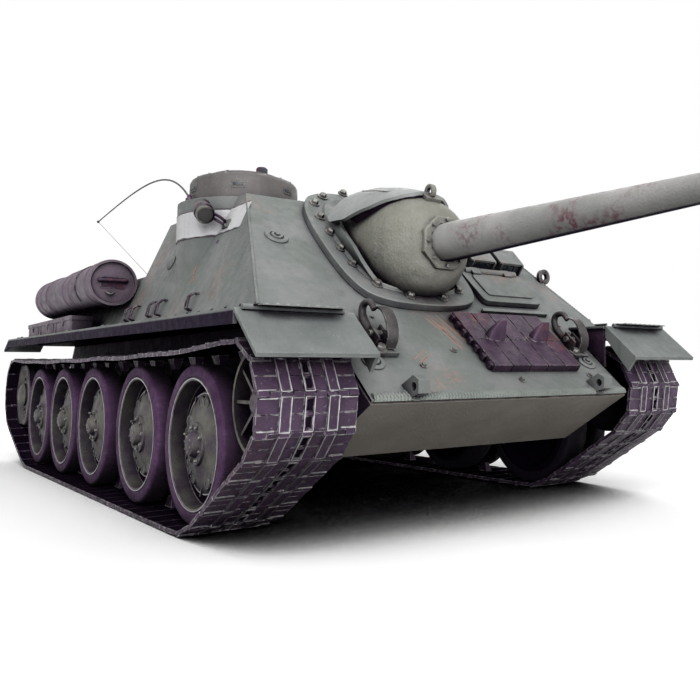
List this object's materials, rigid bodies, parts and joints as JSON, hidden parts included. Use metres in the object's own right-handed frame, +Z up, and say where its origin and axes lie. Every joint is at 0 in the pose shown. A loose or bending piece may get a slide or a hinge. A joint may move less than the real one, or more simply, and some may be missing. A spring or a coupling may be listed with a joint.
{
  "type": "remote controlled tank",
  "caption": "Remote controlled model of a turretless tracked gun vehicle: sloped casemate hull, long gun, cupola, road wheels on swing arms, fixed-shape tracks.",
  "frame": {"origin": "middle of the whole length and width, muzzle included, at ground height under the tracks", "axes": "+Z up; +Y towards the rear of the vehicle, the gun points along -Y; +X towards the vehicle's left side"},
  "size_m": [0.1936, 0.577, 0.1416],
  "materials": {
    "hull_paint": "satin grey-olive paint on moulded plastic, worn",
    "gun_paint": "rough cast look under grey-olive paint, red-brown stains below",
    "wheel_paint": "dull olive disc with a dark rubber tyre",
    "track_metal": "dark purple-brown metal with bright worn edges",
    "dark_steel": "dark painted steel, chipped",
    "antenna_wire": "thin dark whip",
    "black_plastic": "plain black plastic",
    "circuit_board": "green circuit board"
  },
  "bodies": {
    "root": {"antenna": "antenna_wire", "battery_cover": "hull_paint", "battery_pack": "black_plastic", "control_board": "circuit_board", "cupola": "hull_paint", "driver_periscopes": "hull_paint", "engine_deck": "hull_paint", "fuel_drum_left": "hull_paint", "fuel_drum_right": "hull_paint", "gearbox_left": "black_plastic", "gearbox_right": "black_plastic", "gun_mount_frame": "gun_paint", "idler_axle_left": "dark_steel", "idler_axle_right": "dark_steel", "lower_hull": "hull_paint", "rear_plate": "hull_paint", "side_lamp": "hull_paint", "spare_track": "track_metal", "toolbox": "hull_paint", "tow_hook_left": "dark_steel", "tow_hook_right": "dark_steel", "track_left": "track_metal", "track_right": "track_metal", "upper_hull": "hull_paint"},
    "gun_cradle": {"gun_cradle": "dark_steel", "elevation_servo": "black_plastic"},
    "mantlet": {"mantlet": "gun_paint"},
    "gun_barrel": {"gun_barrel": "gun_paint"},
    "cupola_hatch": {"cupola_hatch": "hull_paint"},
    "loader_hatch": {"loader_hatch": "hull_paint"},
    "driver_hatch": {"driver_hatch": "hull_paint"},
    "transmission_hatch": {"transmission_hatch": "hull_paint"},
    "mudguard_right": {"mudguard_right": "hull_paint"},
    "sprocket_right": {"sprocket_right": "dark_steel"},
    "idler_right": {"idler_right": "wheel_paint"},
    "swing_arm_right_1": {"swing_arm_right_1": "dark_steel"},
    "road_wheel_right_1": {"road_wheel_right_1": "wheel_paint"},
    "swing_arm_right_2": {"swing_arm_right_2": "dark_steel"},
    "road_wheel_right_2": {"road_wheel_right_2": "wheel_paint"},
    "swing_arm_right_3": {"swing_arm_right_3": "dark_steel"},
    "road_wheel_right_3": {"road_wheel_right_3": "wheel_paint"},
    "swing_arm_right_4": {"swing_arm_right_4": "dark_steel"},
    "road_wheel_right_4": {"road_wheel_right_4": "wheel_paint"},
    "swing_arm_right_5": {"swing_arm_right_5": "dark_steel"},
    "road_wheel_right_5": {"road_wheel_right_5": "wheel_paint"},
    "mudguard_left": {"mudguard_left": "hull_paint"},
    "sprocket_left": {"sprocket_left": "dark_steel"},
    "idler_left": {"idler_left": "wheel_paint"},
    "swing_arm_left_1": {"swing_arm_left_1": "dark_steel"},
    "road_wheel_left_1": {"road_wheel_left_1": "wheel_paint"},
    "swing_arm_left_2": {"swing_arm_left_2": "dark_steel"},
    "road_wheel_left_2": {"road_wheel_left_2": "wheel_paint"},
    "swing_arm_left_3": {"swing_arm_left_3": "dark_steel"},
    "road_wheel_left_3": {"road_wheel_left_3": "wheel_paint"},
    "swing_arm_left_4": {"swing_arm_left_4": "dark_steel"},
    "road_wheel_left_4": {"road_wheel_left_4": "wheel_paint"},
    "swing_arm_left_5": {"swing_arm_left_5": "dark_steel"},
    "road_wheel_left_5": {"road_wheel_left_5": "wheel_paint"},
    "power_switch": {"power_switch": "black_plastic"}
  },
  "joints": [
    {"name": "gun_traverse", "type": "hinge", "parent": "root", "child": "gun_cradle", "pos_m": [-0.011, -0.01965, 0.0985], "axis": [0, 0, 1], "range_deg": [-5, 5]},
    {"name": "gun_elevation", "type": "hinge", "parent": "gun_cradle", "child": "mantlet", "pos_m": [-0.011, -0.01965, 0.0985], "axis": [-1, 0, 0], "range_deg": [-3, 10]},
    {"name": "gun_recoil", "type": "slide", "parent": "mantlet", "child": "gun_barrel", "axis": [0, 1, 0], "range_m": [0, 0.008], "stiffness_N_per_m": 60, "springref_m": -0.003},
    {"name": "cupola_hatch_hinge", "type": "hinge", "parent": "root", "child": "cupola_hatch", "pos_m": [-0.0451, 0.06105, 0.1352], "axis": [-1, 0, 0], "range_deg": [0, 95]},
    {"name": "loader_hatch_hinge", "type": "hinge", "parent": "root", "child": "loader_hatch", "pos_m": [0.022, 0.05135, 0.1242], "axis": [1, 0, 0], "range_deg": [0, 100]},
    {"name": "driver_hatch_hinge", "type": "hinge", "parent": "root", "child": "driver_hatch", "pos_m": [0.0365, -0.02454, 0.0941], "axis": [-1, 0, 0], "range_deg": [0, 60]},
    {"name": "transmission_hatch_hinge", "type": "hinge", "parent": "root", "child": "transmission_hatch", "pos_m": [0, 0.25745, 0.09094], "axis": [1, 0, 0], "range_deg": [0, 80]},
    {"name": "mudguard_right_hinge", "type": "hinge", "parent": "root", "child": "mudguard_right", "pos_m": [-0.07775, -0.07025, 0.0701], "axis": [-1, 0, 0], "range_deg": [0, 60]},
    {"name": "sprocket_right_spin", "type": "hinge", "parent": "root", "child": "sprocket_right", "pos_m": [-0.07812, 0.26625, 0.0396], "axis": [1, 0, 0], "continuous": true},
    {"name": "idler_right_spin", "type": "hinge", "parent": "root", "child": "idler_right", "pos_m": [-0.07812, -0.06045, 0.0432], "axis": [1, 0, 0], "continuous": true},
    {"name": "swing_arm_right_1_pivot", "type": "hinge", "parent": "root", "child": "swing_arm_right_1", "pos_m": [-0.0588, -0.03775, 0.03597], "axis": [1, 0, 0], "range_deg": [0, 4.8], "stiffness_Nm_per_rad": 0.15, "springref_deg": -6.88},
    {"name": "road_wheel_right_1_spin", "type": "hinge", "parent": "swing_arm_right_1", "child": "road_wheel_right_1", "pos_m": [-0.07812, -0.01775, 0.02877], "axis": [1, 0, 0], "continuous": true},
    {"name": "swing_arm_right_2_pivot", "type": "hinge", "parent": "root", "child": "swing_arm_right_2", "pos_m": [-0.0588, 0.02175, 0.03597], "axis": [1, 0, 0], "range_deg": [0, 4.8], "stiffness_Nm_per_rad": 0.15, "springref_deg": -6.88},
    {"name": "road_wheel_right_2_spin", "type": "hinge", "parent": "swing_arm_right_2", "child": "road_wheel_right_2", "pos_m": [-0.07812, 0.04175, 0.02877], "axis": [1, 0, 0], "continuous": true},
    {"name": "swing_arm_right_3_pivot", "type": "hinge", "parent": "root", "child": "swing_arm_right_3", "pos_m": [-0.0588, 0.08575, 0.03597], "axis": [1, 0, 0], "range_deg": [0, 4.8], "stiffness_Nm_per_rad": 0.15, "springref_deg": -6.88},
    {"name": "road_wheel_right_3_spin", "type": "hinge", "parent": "swing_arm_right_3", "child": "road_wheel_right_3", "pos_m": [-0.07812, 0.10575, 0.02877], "axis": [1, 0, 0], "continuous": true},
    {"name": "swing_arm_right_4_pivot", "type": "hinge", "parent": "root", "child": "swing_arm_right_4", "pos_m": [-0.0588, 0.14225, 0.03597], "axis": [1, 0, 0], "range_deg": [0, 4.8], "stiffness_Nm_per_rad": 0.15, "springref_deg": -6.88},
    {"name": "road_wheel_right_4_spin", "type": "hinge", "parent": "swing_arm_right_4", "child": "road_wheel_right_4", "pos_m": [-0.07812, 0.16225, 0.02877], "axis": [1, 0, 0], "continuous": true},
    {"name": "swing_arm_right_5_pivot", "type": "hinge", "parent": "root", "child": "swing_arm_right_5", "pos_m": [-0.0588, 0.19815, 0.03597], "axis": [1, 0, 0], "range_deg": [0, 4.8], "stiffness_Nm_per_rad": 0.15, "springref_deg": -6.88},
    {"name": "road_wheel_right_5_spin", "type": "hinge", "parent": "swing_arm_right_5", "child": "road_wheel_right_5", "pos_m": [-0.07812, 0.21815, 0.02877], "axis": [1, 0, 0], "continuous": true},
    {"name": "mudguard_left_hinge", "type": "hinge", "parent": "root", "child": "mudguard_left", "pos_m": [0.07775, -0.07025, 0.0701], "axis": [-1, 0, 0], "range_deg": [0, 60]},
    {"name": "sprocket_left_spin", "type": "hinge", "parent": "root", "child": "sprocket_left", "pos_m": [0.07812, 0.26625, 0.0396], "axis": [1, 0, 0], "continuous": true},
    {"name": "idler_left_spin", "type": "hinge", "parent": "root", "child": "idler_left", "pos_m": [0.07812, -0.06045, 0.0432], "axis": [1, 0, 0], "continuous": true},
    {"name": "swing_arm_left_1_pivot", "type": "hinge", "parent": "root", "child": "swing_arm_left_1", "pos_m": [0.0588, -0.03775, 0.03597], "axis": [1, 0, 0], "range_deg": [0, 4.8], "stiffness_Nm_per_rad": 0.15, "springref_deg": -6.88},
    {"name": "road_wheel_left_1_spin", "type": "hinge", "parent": "swing_arm_left_1", "child": "road_wheel_left_1", "pos_m": [0.07812, -0.01775, 0.02877], "axis": [1, 0, 0], "continuous": true},
    {"name": "swing_arm_left_2_pivot", "type": "hinge", "parent": "root", "child": "swing_arm_left_2", "pos_m": [0.0588, 0.02175, 0.03597], "axis": [1, 0, 0], "range_deg": [0, 4.8], "stiffness_Nm_per_rad": 0.15, "springref_deg": -6.88},
    {"name": "road_wheel_left_2_spin", "type": "hinge", "parent": "swing_arm_left_2", "child": "road_wheel_left_2", "pos_m": [0.07812, 0.04175, 0.02877], "axis": [1, 0, 0], "continuous": true},
    {"name": "swing_arm_left_3_pivot", "type": "hinge", "parent": "root", "child": "swing_arm_left_3", "pos_m": [0.0588, 0.08575, 0.03597], "axis": [1, 0, 0], "range_deg": [0, 4.8], "stiffness_Nm_per_rad": 0.15, "springref_deg": -6.88},
    {"name": "road_wheel_left_3_spin", "type": "hinge", "parent": "swing_arm_left_3", "child": "road_wheel_left_3", "pos_m": [0.07812, 0.10575, 0.02877], "axis": [1, 0, 0], "continuous": true},
    {"name": "swing_arm_left_4_pivot", "type": "hinge", "parent": "root", "child": "swing_arm_left_4", "pos_m": [0.0588, 0.14225, 0.03597], "axis": [1, 0, 0], "range_deg": [0, 4.8], "stiffness_Nm_per_rad": 0.15, "springref_deg": -6.88},
    {"name": "road_wheel_left_4_spin", "type": "hinge", "parent": "swing_arm_left_4", "child": "road_wheel_left_4", "pos_m": [0.07812, 0.16225, 0.02877], "axis": [1, 0, 0], "continuous": true},
    {"name": "swing_arm_left_5_pivot", "type": "hinge", "parent": "root", "child": "swing_arm_left_5", "pos_m": [0.0588, 0.19815, 0.03597], "axis": [1, 0, 0], "range_deg": [0, 4.8], "stiffness_Nm_per_rad": 0.15, "springref_deg": -6.88},
    {"name": "road_wheel_left_5_spin", "type": "hinge", "parent": "swing_arm_left_5", "child": "road_wheel_left_5", "pos_m": [0.07812, 0.21815, 0.02877], "axis": [1, 0, 0], "continuous": true},
    {"name": "power_switch_slide", "type": "slide", "parent": "root", "child": "power_switch", "axis": [0, 1, 0], "range_m": [0, 0.004]}
  ],
  "couplings": [
    {"joint": "idler_right_spin", "follows": "sprocket_right_spin", "ratio": 1.2147},
    {"joint": "road_wheel_right_1_spin", "follows": "sprocket_right_spin", "ratio": 0.7566},
    {"joint": "road_wheel_right_2_spin", "follows": "sprocket_right_spin", "ratio": 0.7566},
    {"joint": "road_wheel_right_3_spin", "follows": "sprocket_right_spin", "ratio": 0.7566},
    {"joint": "road_wheel_right_4_spin", "follows": "sprocket_right_spin", "ratio": 0.7566},
    {"joint": "road_wheel_right_5_spin", "follows": "sprocket_right_spin", "ratio": 0.7566},
    {"joint": "idler_left_spin", "follows": "sprocket_left_spin", "ratio": 1.2147},
    {"joint": "road_wheel_left_1_spin", "follows": "sprocket_left_spin", "ratio": 0.7566},
    {"joint": "road_wheel_left_2_spin", "follows": "sprocket_left_spin", "ratio": 0.7566},
    {"joint": "road_wheel_left_3_spin", "follows": "sprocket_left_spin", "ratio": 0.7566},
    {"joint": "road_wheel_left_4_spin", "follows": "sprocket_left_spin", "ratio": 0.7566},
    {"joint": "road_wheel_left_5_spin", "follows": "sprocket_left_spin", "ratio": 0.7566}
  ]
}
